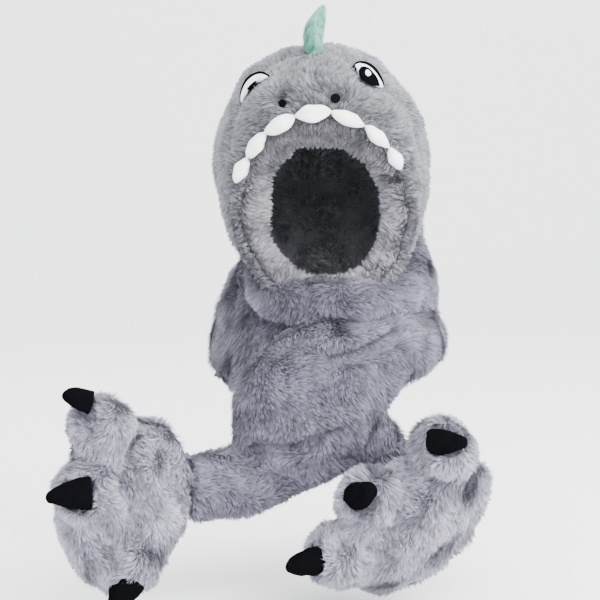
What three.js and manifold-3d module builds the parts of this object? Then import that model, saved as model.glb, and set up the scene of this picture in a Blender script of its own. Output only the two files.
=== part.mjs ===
// Plush animal hood with a built-in scarf that ends in two paw mittens, in the shape it has when worn.
// Millimetres, +Z up, the face looks along -Y. The origin is the top of the head's room, inside the crown.
import * as THREE from "three";
import Module from "manifold-3d";

const wasm = await Module();
wasm.setup();

// Hood
const plush = 12; // wall of the hood, two layers of pile fabric back to back
const hoodRise = 234; // from the chin to the top of the crown, outside
const hoodHalf = 90; // half the hood's width at the temples, outside
const chinForward = 92; // how far the chin is in front of the head's middle
const snoutReach = 34; // how far the stuffed upper jaw stands out in front
const snoutSpread = 66; // degrees from the top at which the snout has sunk to a third
const headLean = 4; // degrees that the worn hood leans to the wearer's right
const hoodSquare = 0.93; // power that squares the hood's round rings a little
const hoodSides = 30;
const hoodSteps = 14;

// Face opening and its rolled edge
const faceWidth = 96;
const faceHeight = 113;
const faceRaise = 12; // from the chin's fold up to the opening
const trimThick = 19;
const trimBow = 8; // how far the opening's top and foot stand in front of its sides
const trimSpan = 1.04; // width of the roll over the way from the opening to the hood
const trimSides = 8;

// Features of the face
const faceShift = 4.5; // how far the snout's features sit to the wearer's right
const toothLength = 28.5;
const toothWidth = 15;
const toothThick = 12;
const toothOut = 2.4; // how far a tooth's middle is in front of the hood's edge
const toothTip = 0.25; // rise of the way that the teeth face, over its length
const nostrilSpacing = 41;
const nostrilRise = 12; // above the top of the hood's front edge
const nostrilWidth = 8;
const nostrilHeight = 2.4;
const nostrilShift = 6.8; // how far their middle sits to the wearer's right
const eyeSpacing = 94;
const eyeDrop = 21; // below the origin
const eyeLength = 36;
const eyeHeight = 30;
const eyeTilt = 14; // degrees that the eyes slant down towards the snout
const pupilShare = 0.58; // the pupil's size over the eye's
const pupilIn = 2;
const pupilDown = 3;
const felt = 1.5; // thickness of the eyes' felt layers
const patchReach = 14; // half the length of the column that a layer is cut with
const finThick = 17;
const finHeight = 29;
const finLength = 40;
const finSides = 10;

// Scarf
const scarfWidth = 120;
const scarfThick = 22;
const neckSide = 78; // half the width of the turn round the neck, at its middle
const neckReach = 92; // half its depth, at its middle
const neckDrop = 200; // from the origin down to the turn round the neck
const frontReach = 150; // how far the crossed ends stand in front of the origin
const frontSpread = 100; // how far the crossed ends reach to a side
const frontDrop = 330; // from the origin down to the lowest fold
const neckLean = 8.5; // how far the turns are moved aside with the leaning chin
const stripSides = 12;
const turnSteps = 27;
const endSteps = 16;

// Paw mittens
const pawWidth = 130; // across the hand
const pawLength = 102; // from the cuff to the roots of the claws
const pawThick = 66;
const pawWall = 11;
const pocketDepth = 0.74; // share of pawLength that the pocket for the hand is deep
const cuffRound = 0.24; // share of pawLength by which the cuff's sides are cut back
const toeSize = 52;
const clawLength = 34;
const clawWidth = 24;
const clawDroop = 0.12; // how far the tip hangs, over the claw's length
const clawSides = 10;

const softSquare = 0.85; // power that squares a strip's and a mitten's oval section
const gap = 0.5; // left between neighbouring pieces
const sharpest = 0.4; // least cosine at a corner that is moved outwards

const rad = THREE.MathUtils.degToRad;
const vec = (x, y, z) => new THREE.Vector3(x, y, z);

// Each named column of a table at share t of its length, on a smooth curve through the rows.
function along(rows, t, looped = false) {
  const spans = looped ? rows.length : rows.length - 1;
  const place = THREE.MathUtils.clamp(t, 0, 1) * spans;
  const k = Math.min(Math.floor(place), spans - 1);
  const f = place - k;
  const row = (i) =>
    looped ? rows[(i + rows.length) % rows.length] : rows[THREE.MathUtils.clamp(i, 0, rows.length - 1)];
  const [a, b, c, d] = [row(k - 1), row(k), row(k + 1), row(k + 2)];
  const found = {};
  for (const name of Object.keys(b)) {
    const slope = c[name] - a[name];
    const bend = 2 * a[name] - 5 * b[name] + 4 * c[name] - d[name];
    const twist = 3 * (b[name] - c[name]) + d[name] - a[name];
    found[name] = b[name] + (f / 2) * (slope + f * (bend + f * twist));
  }
  return found;
}

// A solid from a triangle list. A list that faces inwards is turned round.
function solidFrom(points, triangles) {
  const at = (i) => vec(points[3 * i], points[3 * i + 1], points[3 * i + 2]);
  let volume = 0;
  for (let i = 0; i < triangles.length; i += 3) {
    const [a, b, c] = [at(triangles[i]), at(triangles[i + 1]), at(triangles[i + 2])];
    volume += a.dot(b.cross(c));
  }
  const turned = [...triangles];
  if (volume < 0) turned.reverse();
  return new wasm.Manifold(
    new wasm.Mesh({
      numProp: 3,
      vertProperties: new Float32Array(points),
      triVerts: new Uint32Array(turned),
    }),
  );
}

// The closed skin over a row of rings with equal counts of points. A looped row joins its last ring to its
// first, and an open one is closed at both ends.
function skin(rings, looped) {
  const sides = rings[0].length;
  const points = rings.flat().flatMap((p) => [p.x, p.y, p.z]);
  const triangles = [];
  const bands = looped ? rings.length : rings.length - 1;
  for (let i = 0; i < bands; i++) {
    for (let j = 0; j < sides; j++) {
      const next = (j + 1) % sides;
      const here = i * sides;
      const there = ((i + 1) % rings.length) * sides;
      triangles.push(here + j, here + next, there + j, here + next, there + next, there + j);
    }
  }
  if (!looped) {
    for (const [ring, forward] of [[0, false], [rings.length - 1, true]]) {
      const middle = points.length / 3;
      const centre = rings[ring].reduce((sum, p) => sum.add(p), vec(0, 0, 0)).divideScalar(sides);
      points.push(centre.x, centre.y, centre.z);
      for (let j = 0; j < sides; j++) {
        const pair = [ring * sides + j, ring * sides + ((j + 1) % sides)];
        triangles.push(middle, ...(forward ? pair : pair.reverse()));
      }
    }
  }
  return solidFrom(points, triangles);
}

function geometryOf(solid) {
  const found = solid.getMesh();
  const geometry = new THREE.BufferGeometry()
    .setAttribute("position", new THREE.BufferAttribute(found.vertProperties, 3))
    .setIndex(new THREE.BufferAttribute(found.triVerts, 1));
  geometry.computeVertexNormals();
  return geometry;
}

// The solid with its surface moved outwards, which is what cuts a seat for it into a neighbour. A corner
// moves further than its faces do, so that each of them gets the whole distance.
function grown(solid, by = gap) {
  const { vertProperties: points, triVerts: triangles, numVert } = solid.getMesh();
  const at = (i) => vec(points[3 * i], points[3 * i + 1], points[3 * i + 2]);
  const faces = Array.from({ length: numVert }, () => []);
  for (let i = 0; i < triangles.length; i += 3) {
    const corners = [...triangles.slice(i, i + 3)];
    const [a, b, c] = corners.map(at);
    const normal = b.sub(a).cross(c.sub(a));
    if (normal.length() < 1e-3) continue;
    normal.normalize();
    corners.forEach((corner) => faces[corner].push(normal));
  }
  const moved = faces.flatMap((normals, i) => {
    const way = normals.reduce((sum, n) => sum.add(n), vec(0, 0, 0)).normalize();
    const least = Math.max(sharpest, ...[Math.min(1, ...normals.map((n) => n.dot(way)))]);
    return at(i).addScaledVector(way, by / least).toArray();
  });
  return solidFrom(moved, Array.from(triangles));
}

// The largest body of a solid, without the crumbs that a cut leaves.
const largest = (solid) => solid.decompose().sort((a, b) => b.volume() - a.volume())[0];

// What is left of a solid beside the whole forms of its neighbours.
const cut = (solid, ...forms) => largest(forms.reduce((left, form) => left.subtract(grown(form)), solid));

// A solid moved by a matrix.
const placed = (solid, matrix) => solid.transform(matrix.toArray());

// A value from -1 to 1, pushed towards its ends, which squares a circle's corners.
const squared = (value, power) => Math.sign(value) * Math.abs(value) ** power;

// A ball with three radii, in rings along its first axis.
function egg(long, wide, thick, sides, steps, matrix) {
  const rings = [];
  for (let i = 1; i < steps; i++) {
    const down = (Math.PI * i) / steps;
    rings.push(
      Array.from({ length: sides }, (_, j) => {
        const a = (2 * Math.PI * j) / sides;
        const r = Math.sin(down) / 2;
        return vec((-long / 2) * Math.cos(down), wide * r * Math.cos(a), thick * r * Math.sin(a));
      }),
    );
  }
  return placed(skin(rings, false), matrix);
}

// A matrix at a place, with its X axis along one direction and its Z axis near another.
function pose(place, along, up) {
  const x = along.clone().normalize();
  const y = up.clone().cross(x).normalize();
  return new THREE.Matrix4().makeBasis(x, y, x.clone().cross(y)).setPosition(place);
}

// Hood: rings that fan back round the chin's fold, from the face to the neck. turn is the ring's lean in
// degrees, near and far its ends as shares of hoodRise, half its half width as a share of hoodHalf, widest
// where that lies between the ends, and push the snout's share of snoutReach at its top.
const hoodTable = [
  { turn: -2, near: 0.01, far: 0.641, half: 0.735, widest: 0.52, push: 1 },
  { turn: 2.3, near: 0.01, far: 0.748, half: 0.85, widest: 0.5, push: 1.22 },
  { turn: 5, near: 0.01, far: 0.8, half: 0.89, widest: 0.5, push: 1.02 },
  { turn: 9.4, near: 0.01, far: 0.86, half: 0.935, widest: 0.5, push: 0.56 },
  { turn: 17.7, near: 0.012, far: 0.942, half: 0.98, widest: 0.5, push: 0.04 },
  { turn: 24.5, near: 0.015, far: 1, half: 1, widest: 0.51, push: 0 },
  { turn: 32.4, near: 0.02, far: 1.05, half: 1, widest: 0.52, push: 0 },
  { turn: 42, near: 0.03, far: 1.065, half: 0.975, widest: 0.53, push: 0 },
  { turn: 51.6, near: 0.05, far: 1.031, half: 0.93, widest: 0.54, push: 0 },
  { turn: 59.5, near: 0.07, far: 0.968, half: 0.87, widest: 0.54, push: 0 },
  { turn: 67, near: 0.1, far: 0.877, half: 0.8, widest: 0.54, push: 0 },
  { turn: 74, near: 0.13, far: 0.782, half: 0.72, widest: 0.53, push: 0 },
  { turn: 82.4, near: 0.16, far: 0.707, half: 0.65, widest: 0.52, push: 0 },
  { turn: 91.8, near: 0.18, far: 0.667, half: 0.59, widest: 0.5, push: 0 },
  { turn: 99, near: 0.19, far: 0.658, half: 0.56, widest: 0.5, push: 0 },
];
const chinDrop = hoodRise * Math.cos(rad(24.5)) - plush; // from the origin down to the chin's fold

// The point of the hood at share t from face to neck and angle a from the top, inset by the wall where asked.
function hoodPoint(t, a, inset = 0) {
  const row = along(hoodTable, t);
  const near = row.near * hoodRise + inset;
  const far = row.far * hoodRise - inset;
  const widest = near + row.widest * (far - near);
  const rise = Math.cos(a);
  const r = widest + rise * (rise > 0 ? far - widest : widest - near);
  const fromTop = (180 / Math.PI) * Math.acos(Math.cos(a));
  const push = inset ? 0 : row.push * snoutReach * Math.exp(-((fromTop / snoutSpread) ** 2));
  return vec(
    (row.half * hoodHalf - inset) * squared(Math.sin(a), hoodSquare),
    -chinForward + r * Math.sin(rad(row.turn)) - push,
    -chinDrop + r * Math.cos(rad(row.turn)),
  );
}

const roundHead = (t, inset) =>
  Array.from({ length: hoodSides }, (_, j) => hoodPoint(t, (2 * Math.PI * j) / hoodSides, inset));

function makeHood() {
  const outside = Array.from({ length: hoodSteps + 1 }, (_, i) => roundHead(i / hoodSteps, 0));
  const inside = Array.from({ length: hoodSteps - 1 }, (_, i) => roundHead(1 - i / (hoodSteps - 2), plush));
  return skin([...outside, ...inside], true);
}

// The hood without its hollow, which the face's pieces are laid on.
const hoodSkin = skin(Array.from({ length: hoodSteps + 1 }, (_, i) => roundHead(i / hoodSteps, 0)), false);
const bothSides = new THREE.MeshBasicMaterial({ side: THREE.DoubleSide });
const hoodTarget = new THREE.Mesh(geometryOf(hoodSkin), bothSides);

// Where a line first meets the hood, with the surface's outward normal there.
function onHood(from, towards) {
  const hit = new THREE.Raycaster(from, towards.clone().normalize()).intersectObject(hoodTarget)[0];
  const normal = hit.face.normal.clone();
  if (normal.dot(towards) > 0) normal.negate();
  return { place: hit.point, normal };
}

// The rolled edge round the face: an oval section that spans from the hood's front edge to the opening.
function makeTrim() {
  const rings = [];
  for (let i = 0; i < hoodSides; i++) {
    const a = (2 * Math.PI * i) / hoodSides;
    const outer = hoodPoint(0, a);
    const inner = vec(
      (faceWidth / 2) * Math.sin(a),
      -chinForward - (trimBow / 2) * (1 + Math.cos(2 * a)),
      -chinDrop + faceRaise + (faceHeight / 2) * (1 + Math.cos(a)),
    );
    const span = outer.clone().sub(inner);
    const middle = inner.clone().addScaledVector(span, 0.5);
    const round = vec(Math.cos(a), 0, -Math.sin(a));
    const out = span.clone().cross(round).normalize();
    if (out.y > 0) out.negate();
    rings.push(
      Array.from({ length: trimSides }, (_, j) => {
        const b = (2 * Math.PI * j) / trimSides;
        return middle
          .clone()
          .addScaledVector(span, (trimSpan / 2) * Math.cos(b))
          .addScaledVector(out, (trimThick / 2) * Math.sin(b));
      }),
    );
  }
  return skin(rings, true);
}

// The line of the teeth: the hood's front edge, measured by length from its top, to the right when positive.
function onEdge(length) {
  const step = rad(0.5) * Math.sign(length || 1);
  let [a, gone] = [0, 0];
  while (gone < Math.abs(length)) {
    gone += hoodPoint(0, a).distanceTo(hoodPoint(0, a + step));
    a += step;
  }
  return hoodPoint(0, a);
}

// Lengths of the teeth as shares of toothLength, from the wearer's right to the left.
const toothSizes = [0.86, 0.92, 1, 1, 1, 0.97, 0.84];

// One stuffed tooth of the row, pinched at both ends.
function makeTooth(number) {
  const before = toothSizes.slice(0, number).reduce((sum, size) => sum + size, 0);
  const all = toothSizes.reduce((sum, size) => sum + size, 0);
  const long = toothSizes[number] * toothLength;
  const middle = (before - all / 2) * toothLength + long / 2 - faceShift;
  const place = onEdge(middle);
  const run = onEdge(middle + long / 4).sub(onEdge(middle - long / 4));
  const forward = vec(place.x / hoodHalf, -1, toothTip).normalize();
  const matrix = pose(place.addScaledVector(forward, toothOut), run, forward);
  return egg(long - gap, toothWidth * Math.sqrt(toothSizes[number]), toothThick, 10, 8, matrix);
}

// A felt or bead layer of the face: an oval column through the hood's skin, kept between two heights over it.
function makePatch({ place, normal }, long, wide, tilt, from, to) {
  const level = vec(0, 0, 1).cross(normal).negate();
  const matrix = pose(place, level.applyAxisAngle(normal, tilt), normal);
  const outline = new THREE.Shape().absellipse(0, 0, long / 2, wide / 2, 0, 2 * Math.PI);
  const ring = outline.getPoints(5).slice(0, -1);
  const column = [-patchReach, patchReach].map((z) => ring.map((p) => vec(p.x, p.y, z)));
  const whole = placed(skin(column, false), matrix);
  return largest(whole.intersect(grown(hoodSkin, to)).subtract(grown(hoodSkin, from)));
}

// Fins on the crown, front to back. place is the fin's middle from the origin towards the back and height its
// size, as shares of finLength and finHeight, tip how far its tip leans back and aside how far to the
// wearer's left.
const finTable = [
  { place: -1.4, height: 1, tip: 0.5, aside: 0.14 },
  { place: -0.3, height: 1.05, tip: 0.5, aside: 0.36 },
];
// A fin's outline from root to tip: rise as a share of its height, long of finLength and thick of finThick.
const finShape = [
  { rise: -0.35, long: 0.78, thick: 0.62 },
  { rise: 0.1, long: 1, thick: 0.82 },
  { rise: 0.35, long: 0.93, thick: 1 },
  { rise: 0.62, long: 0.68, thick: 0.86 },
  { rise: 0.85, long: 0.4, thick: 0.6 },
  { rise: 1, long: 0.14, thick: 0.26 },
];

function makeFin({ place, height, tip, aside }) {
  const foot = onHood(vec(0, place * finLength, 2 * hoodRise), vec(0, 0, -1)).place;
  const tall = height * finHeight;
  const rings = finShape.map(({ rise, long, thick }) =>
    Array.from({ length: finSides }, (_, j) => {
      const a = (2 * Math.PI * j) / finSides;
      const lean = Math.max(rise, 0) ** 1.5;
      return foot
        .clone()
        .add(
          vec(
            (thick * finThick * Math.sin(a)) / 2 + aside * tall * lean,
            (long * finLength * Math.cos(a)) / 2 + tip * tall * lean,
            rise * tall,
          ),
        );
    }),
  );
  return cut(skin(rings, false), hoodSkin);
}

// A strip of plush swept along stations. Each has its middle, the way its face looks, its width, its
// thickness and how far its edges curl back.
function makeStrip(station, steps, looped) {
  const rings = [];
  for (let i = 0; i < steps + (looped ? 0 : 1); i++) {
    const t = i / steps;
    const nudge = 0.25 / steps;
    const s = station(t);
    const ahead = station(looped ? (t + nudge) % 1 : Math.min(t + nudge, 1)).middle;
    const behind = station(looped ? (t + 1 - nudge) % 1 : Math.max(t - nudge, 0)).middle;
    const run = ahead.clone().sub(behind).normalize();
    const across = run.clone().cross(s.face).normalize();
    const out = across.clone().cross(run).normalize();
    rings.push(
      Array.from({ length: stripSides }, (_, j) => {
        const a = (2 * Math.PI * j) / stripSides;
        const side = squared(Math.cos(a), softSquare);
        const lift = (squared(Math.sin(a), softSquare) * s.thick) / 2 - s.curl * side * side;
        return s.middle.clone().addScaledVector(across, (side * s.wide) / 2).addScaledVector(out, lift);
      }),
    );
  }
  return skin(rings, looped);
}

// The way a face looks: turn is degrees from the front towards the wearer's left, tip degrees upwards.
function facing(turn, tip) {
  const [a, e] = [rad(turn), rad(tip)];
  return vec(Math.sin(a) * Math.cos(e), -Math.cos(a) * Math.cos(e), Math.sin(e));
}

// A turn round the neck. The rows stand at even steps round it, from the front by the wearer's left shoulder.
// out is a share of scarfThick beyond the neck's oval, drop of neckDrop, wide of scarfWidth, thick and curl
// of scarfThick, and tip the lean of the face in degrees.
function neckTurn(rows) {
  return (t) => {
    const row = along(rows, t, true);
    const a = 2 * Math.PI * t;
    const out = row.out * scarfThick;
    return {
      middle: vec(
        (neckSide + out) * Math.sin(a) + neckLean,
        -(neckReach + out) * Math.cos(a),
        -row.drop * neckDrop,
      ),
      face: facing(360 * t, row.tip),
      wide: row.wide * scarfWidth,
      thick: row.thick * scarfThick,
      curl: row.curl * scarfThick,
    };
  };
}

const chinTurnTable = [
  { out: 0.9, drop: 1.005, wide: 0.34, thick: 1.45, tip: 4, curl: 0 },
  { out: 0.75, drop: 1.01, wide: 0.38, thick: 1.3, tip: 6, curl: 0.1 },
  { out: 0.5, drop: 0.97, wide: 0.52, thick: 1, tip: 8, curl: 0.2 },
  { out: 0.3, drop: 0.87, wide: 0.78, thick: 0.85, tip: 8, curl: 0.2 },
  { out: 0.1, drop: 0.84, wide: 0.82, thick: 0.8, tip: 10, curl: 0.2 },
  { out: 0, drop: 0.86, wide: 0.8, thick: 0.8, tip: 12, curl: 0.2 },
  { out: 0, drop: 0.88, wide: 0.78, thick: 0.8, tip: 12, curl: 0.2 },
  { out: -0.3, drop: 0.88, wide: 0.7, thick: 0.8, tip: 12, curl: 0.2 },
  { out: -0.8, drop: 0.88, wide: 0.6, thick: 0.75, tip: 10, curl: 0.2 },
  { out: -0.95, drop: 0.86, wide: 0.36, thick: 0.75, tip: 8, curl: 0.1 },
  { out: -0.5, drop: 0.88, wide: 0.32, thick: 0.9, tip: 8, curl: 0.1 },
  { out: 0.4, drop: 0.965, wide: 0.32, thick: 1.2, tip: 6, curl: 0 },
];

const shoulderTurnTable = [
  { out: 0.1, drop: 1.17, wide: 0.5, thick: 0.8, tip: 20, curl: 0.1 },
  { out: 0.3, drop: 1.16, wide: 0.5, thick: 0.8, tip: 24, curl: 0.1 },
  { out: 0.5, drop: 1.14, wide: 0.5, thick: 0.8, tip: 28, curl: 0.2 },
  { out: 0.6, drop: 1.12, wide: 0.55, thick: 0.8, tip: 28, curl: 0.3 },
  { out: 0.8, drop: 1.12, wide: 0.65, thick: 0.8, tip: 30, curl: 0.3 },
  { out: 0.8, drop: 1.14, wide: 0.65, thick: 0.8, tip: 28, curl: 0.3 },
  { out: 0.8, drop: 1.14, wide: 0.65, thick: 0.8, tip: 28, curl: 0.3 },
  { out: 0.8, drop: 1.14, wide: 0.65, thick: 0.8, tip: 28, curl: 0.3 },
  { out: 0.5, drop: 1.09, wide: 0.8, thick: 0.8, tip: 24, curl: 0.3 },
  { out: 0.25, drop: 1.06, wide: 0.94, thick: 0.8, tip: 18, curl: 0.3 },
  { out: -0.1, drop: 1.14, wide: 0.9, thick: 0.8, tip: 14, curl: 0.2 },
  { out: -0.1, drop: 1.17, wide: 0.7, thick: 0.8, tip: 14, curl: 0.1 },
];

// An end of the scarf on the chest. aside, front and drop are shares of frontSpread, frontReach and
// frontDrop, turn and tip the way its face looks in degrees, wide a share of scarfWidth, thick and curl of
// scarfThick.
function frontEnd(rows) {
  return (t) => {
    const row = along(rows, t);
    return {
      middle: vec(row.aside * frontSpread, -row.front * frontReach, -row.drop * frontDrop),
      face: facing(row.turn, row.tip),
      wide: row.wide * scarfWidth,
      thick: row.thick * scarfThick,
      curl: row.curl * scarfThick,
    };
  };
}

// Over the wearer's left shoulder and down across the chest to the right.
const crossTable = [
  { aside: 0.9, front: -0.1, drop: 0.655, turn: 100, tip: 30, wide: 0.4, thick: 0.6, curl: 0.2 },
  { aside: 0.97, front: 0.2, drop: 0.67, turn: 80, tip: 30, wide: 0.46, thick: 0.8, curl: 0.3 },
  { aside: 0.84, front: 0.54, drop: 0.69, turn: 52, tip: 24, wide: 0.54, thick: 1, curl: 0.4 },
  { aside: 0.5, front: 0.8, drop: 0.725, turn: 28, tip: 16, wide: 0.68, thick: 1.25, curl: 0.5 },
  { aside: 0.21, front: 0.93, drop: 0.765, turn: 12, tip: 12, wide: 0.9, thick: 1.5, curl: 0.5 },
  { aside: 0, front: 1, drop: 0.815, turn: 2, tip: 8, wide: 1, thick: 1.6, curl: 0.5 },
  { aside: -0.17, front: 1.02, drop: 0.875, turn: -3, tip: 2, wide: 0.92, thick: 1.4, curl: 0.4 },
  { aside: -0.26, front: 1, drop: 0.955, turn: -4, tip: -6, wide: 0.74, thick: 1, curl: 0.3 },
];
// Its turned-up foot, from under the crossing to the right paw mitten's cuff.
const footTable = [
  { aside: 0.6, front: 0.76, drop: 0.89, turn: 30, tip: 16, wide: 0.32, thick: 1, curl: 0 },
  { aside: 0.28, front: 0.87, drop: 0.925, turn: 14, tip: 20, wide: 0.38, thick: 1.3, curl: 0 },
  { aside: -0.11, front: 0.93, drop: 0.96, turn: 4, tip: 22, wide: 0.45, thick: 1.4, curl: 0 },
  { aside: -0.54, front: 0.97, drop: 1.008, turn: -8, tip: 22, wide: 0.5, thick: 1.3, curl: 0 },
  { aside: -0.83, front: 1.06, drop: 1.01, turn: -22, tip: 12, wide: 0.48, thick: 1.1, curl: 0 },
  { aside: -1.02, front: 1.16, drop: 1.01, turn: -30, tip: 4, wide: 0.46, thick: 0.9, curl: 0 },
];
// The other end, from the wearer's right shoulder under the crossing to the left paw mitten's cuff.
const underTable = [
  { aside: -0.46, front: 0.4, drop: 0.79, turn: -40, tip: 10, wide: 0.4, thick: 0.7, curl: 0.2 },
  { aside: -0.24, front: 0.56, drop: 0.82, turn: -20, tip: 4, wide: 0.5, thick: 0.8, curl: 0.2 },
  { aside: 0.1, front: 0.66, drop: 0.87, turn: 0, tip: 0, wide: 0.52, thick: 0.9, curl: 0.1 },
  { aside: 0.4, front: 0.68, drop: 0.94, turn: 16, tip: -8, wide: 0.5, thick: 0.9, curl: 0 },
  { aside: 0.6, front: 0.66, drop: 1.01, turn: 32, tip: -22, wide: 0.48, thick: 0.9, curl: 0 },
  { aside: 0.76, front: 0.66, drop: 1.08, turn: 41, tip: -32, wide: 0.46, thick: 0.8, curl: 0 },
];

// Paw mitten, in its own frame: +X runs from the cuff to the toes, +Y to the first toe, +Z out of the hand's
// back. run, wide and thick of the sections are shares of pawLength, pawWidth and pawThick.
const pawSections = [
  { run: 0, wide: 0.98, thick: 0.9, lift: 0 },
  { run: 0.14, wide: 1.04, thick: 1, lift: 0 },
  { run: 0.36, wide: 1.06, thick: 1.04, lift: 0 },
  { run: 0.6, wide: 1.02, thick: 1, lift: 0 },
  { run: 0.8, wide: 0.78, thick: 0.84, lift: -0.02 },
  { run: 0.92, wide: 0.5, thick: 0.6, lift: -0.05 },
];
const pawSteps = 7;
const pawSides = 18;
const pocketSteps = 5;

function pawBody(from, to, inset, steps) {
  const rings = Array.from({ length: steps + 1 }, (_, i) => {
    const t = from + ((to - from) * i) / steps;
    const row = along(pawSections, t);
    return Array.from({ length: pawSides }, (_, j) => {
      const a = (2 * Math.PI * j) / pawSides;
      return vec(
        (row.run + Math.min(t, 0) + cuffRound * Math.cos(a) ** 2 * (1 - t) ** 3) * pawLength,
        ((row.wide * pawWidth) / 2 - inset) * squared(Math.cos(a), softSquare),
        ((row.thick * pawThick) / 2 - inset) * squared(Math.sin(a), softSquare) + row.lift * pawThick,
      );
    });
  });
  return skin(rings, false);
}

// Toes of each mitten: run, side and lift place the toe's middle as shares of pawLength, pawWidth and
// pawThick, and size is its share of toeSize.
const openToes = [
  { run: 0.79, side: 0.39, lift: -0.14, size: 0.98 },
  { run: 0.76, side: 0.02, lift: -0.2, size: 1.18 },
  { run: 0.36, side: -0.33, lift: -0.16, size: 1.08 },
];
const curledToes = [
  { run: 0.87, side: 0.43, lift: -0.03, size: 1.04 },
  { run: 1, side: -0.06, lift: 0.04, size: 1.08 },
  { run: 0.86, side: -0.42, lift: -0.03, size: 1.06 },
];
// Claws, one on each toe: run, side and lift place the root as for the toes, turn is the claw's way in
// degrees from the axis towards the first toe, rise from the palm up, and size its share of the claw's sizes.
const openClaws = [
  { run: 0.95, side: 0.5, lift: -0.27, turn: 5, rise: 17, size: 0.86 },
  { run: 0.89, side: 0.03, lift: -0.53, turn: -16, rise: 20, size: 1.06 },
  { run: 0.35, side: -0.45, lift: -0.39, turn: -64, rise: 6, size: 1.02 },
];
const curledClaws = [
  { run: 1.09, side: 0.43, lift: -0.06, turn: 92, rise: -49, size: 1 },
  { run: 1.22, side: -0.12, lift: -0.04, turn: 58, rise: -26, size: 0.94 },
  { run: 1.05, side: -0.5, lift: -0.08, turn: -47, rise: 17, size: 1 },
];
// A claw's outline from root to tip: run as a share of clawLength, wide of clawWidth.
const clawShape = [
  { run: 0, wide: 1 },
  { run: 0.25, wide: 0.98 },
  { run: 0.5, wide: 0.82 },
  { run: 0.75, wide: 0.56 },
  { run: 0.93, wide: 0.3 },
  { run: 1, wide: 0.1 },
];

function makeClaw(matrix, size) {
  const rings = clawShape.map(({ run, wide }) =>
    Array.from({ length: clawSides }, (_, j) => {
      const a = (2 * Math.PI * j) / clawSides;
      const droop = clawDroop * clawLength * run * run;
      const r = (wide * clawWidth) / 2;
      return vec(run * clawLength, r * Math.cos(a), r * Math.sin(a) - droop);
    }),
  );
  return placed(skin(rings, false), matrix.scale(vec(size, size, size)));
}

const onPaw = ({ run, side, lift }) => vec(run * pawLength, side * pawWidth, lift * pawThick);

function makePaw(toes, clawRows) {
  const balls = toes.map((toe) => {
    const size = toe.size * toeSize;
    return egg(size * 1.12, size, size, 12, 7, pose(onPaw(toe), vec(1, toe.side, 0), vec(0, 0, 1)));
  });
  const claws = clawRows.map((row) => {
    const way = facing(row.turn + 90, row.rise);
    const up = Math.abs(way.z) > 0.7 ? vec(1, 0, 0) : vec(0, 0, 1);
    return makeClaw(pose(onPaw(row), way, up), row.size);
  });
  const forms = [pawBody(0, 1, 0, pawSteps), ...balls];
  const whole = forms.reduce((all, form) => all.add(form));
  const pocket = pawBody(-0.06, pocketDepth, pawWall, pocketSteps);
  return { body: cut(whole.subtract(pocket), ...claws), claws, forms };
}

// Looks of the materials.
const cloth = (color, roughness) => new THREE.MeshStandardMaterial({ color, roughness, metalness: 0 });
const grey = cloth(0x8b8c99, 0.95);
const darkGrey = cloth(0x77767f, 0.95);
const paleGrey = cloth(0x9b9ba9, 0.95);
const white = cloth(0xe9ebea, 0.8);
const mint = cloth(0x8fc5b2, 0.8);
const black = cloth(0x121318, 0.75);
const bead = cloth(0x0c0c0e, 0.25);

const part = new THREE.Group();
const add = (name, solid, material, group = part) => {
  const mesh = new THREE.Mesh(geometryOf(solid), material);
  mesh.name = name;
  group.add(mesh);
};

// Everything sewn to the hood leans with the head.
const head = new THREE.Group();
head.rotation.y = -rad(headLean);
head.updateMatrix();
part.add(head);

const hood = makeHood();
const trim = makeTrim();
add("hood", hood, grey, head);
add("face_trim", cut(trim, hood), darkGrey, head);

for (let i = 0; i < toothSizes.length; i++) {
  add(`tooth_${i + 1}`, cut(makeTooth(i), hood, trim), white, head);
}

for (const [side, sign] of [["right", -1], ["left", 1]]) {
  const eye = onHood(vec((sign * eyeSpacing) / 2 - faceShift, -2 * hoodRise, -eyeDrop), vec(0, 1, 0));
  const tilt = -sign * rad(eyeTilt);
  add(`eye_white_${side}`, makePatch(eye, eyeLength, eyeHeight, tilt, gap, felt), white, head);
  const pupil = onHood(eye.place.clone().add(vec(-sign * pupilIn, -snoutReach, -pupilDown)), vec(0, 1, 0));
  const [long, wide] = [eyeLength * pupilShare, eyeHeight * pupilShare];
  add(`eye_pupil_${side}`, makePatch(pupil, long, wide, tilt, felt + gap, 2 * felt), black, head);
  const aside = (sign * nostrilSpacing) / 2 - nostrilShift;
  const nostril = onHood(vec(aside, -2 * hoodRise, hoodPoint(0, 0).z + nostrilRise), vec(0, 1, 0));
  add(`nostril_${side}`, makePatch(nostril, nostrilWidth, nostrilWidth, 0, gap, nostrilHeight), bead, head);
}

finTable.forEach((row, i) => add(`fin_${i + 1}`, makeFin(row), mint, head));

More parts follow.
